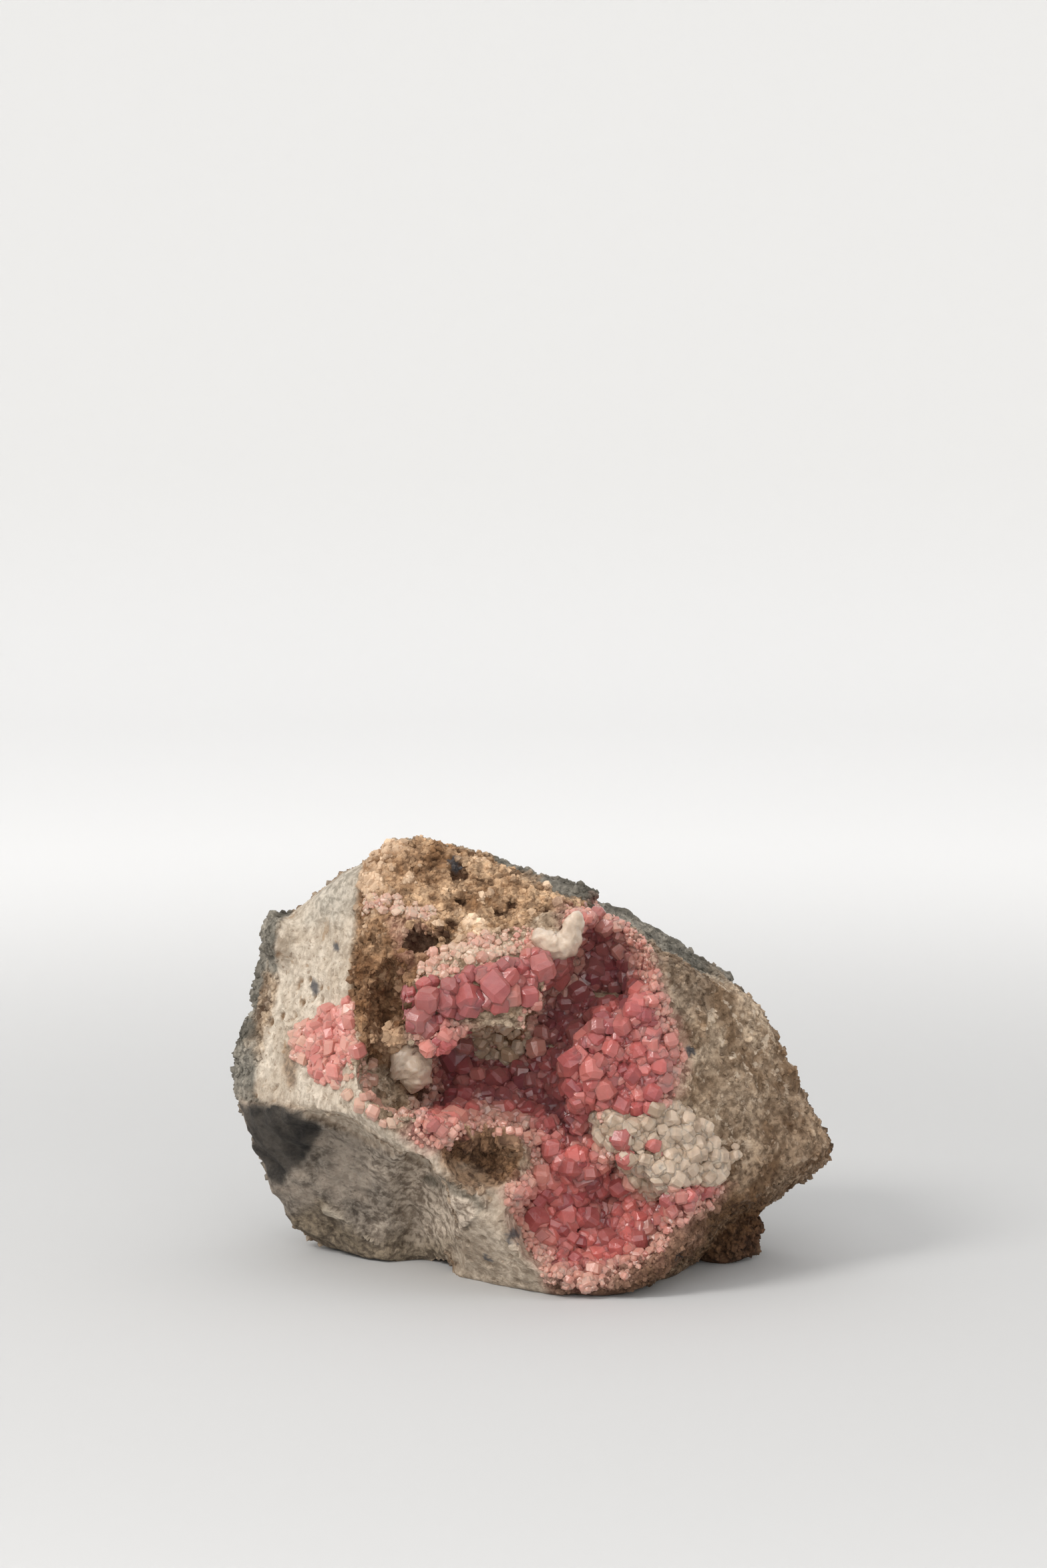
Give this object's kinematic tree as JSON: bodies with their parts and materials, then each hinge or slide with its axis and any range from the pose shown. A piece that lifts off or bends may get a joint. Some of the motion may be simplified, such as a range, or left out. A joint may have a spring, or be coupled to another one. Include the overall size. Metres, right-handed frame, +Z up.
{
  "type": "rhodochrosite mineral specimen",
  "caption": "Hand specimen of brown and cream host rock with an open vug lined by raspberry-pink rhodochrosite crystals and small white calcite growths.",
  "frame": {"origin": "middle of the bottom of the specimen's bounding box", "axes": "+X to the right seen from the vug side, +Y to the back, +Z up; the vug opens towards -Y"},
  "size_m": [0.0904, 0.0598, 0.0642],
  "materials": {
    "host_rock": "rough broken rock: cream pitted limestone-like face, grey shell-shaped fracture, brown gritty iron-oxide crust",
    "rhodochrosite": "translucent raspberry-pink rhombohedral crystals with a glassy to pearly lustre",
    "rhodochrosite_pale": "fine sugary pale-pink crystals with tiny bright faces",
    "calcite": "milky white translucent rounded crystals"
  },
  "bodies": {
    "root": {"host_rock": "host_rock", "rhodochrosite_main_druse": "rhodochrosite", "rhodochrosite_ledge_crystals": "rhodochrosite", "rhodochrosite_left_patch": "rhodochrosite_pale", "rhodochrosite_crest_druse": "rhodochrosite_pale", "calcite_nodule_top": "calcite", "calcite_nodule_left": "calcite", "calcite_cluster_deep": "calcite", "calcite_cluster_right": "calcite"}
  },
  "joints": []
}
